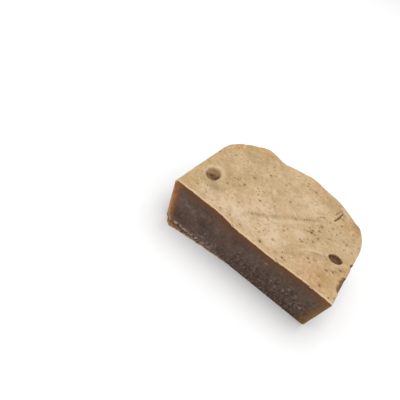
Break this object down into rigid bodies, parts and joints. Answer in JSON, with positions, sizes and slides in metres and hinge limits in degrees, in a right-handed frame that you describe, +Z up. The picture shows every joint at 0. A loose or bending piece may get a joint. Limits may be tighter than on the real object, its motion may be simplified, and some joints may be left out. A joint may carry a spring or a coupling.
{
  "type": "bar of soap",
  "caption": "Hand-cut bar of brown soap with rounded moulded end, pale uneven top skin and a plain knife-cut face.",
  "frame": {"origin": "on the base plane, under the middle of the bounding box", "axes": "+X along the knife-cut face, which looks towards -Y; +Y towards the rounded moulded end; +Z up through the thickness"},
  "size_m": [0.0868, 0.0706, 0.0243],
  "materials": {
    "soap": "waxy, smooth mould walls, dry pale skin on top"
  },
  "bodies": {
    "root": {"soap_bar": "soap"}
  },
  "joints": []
}
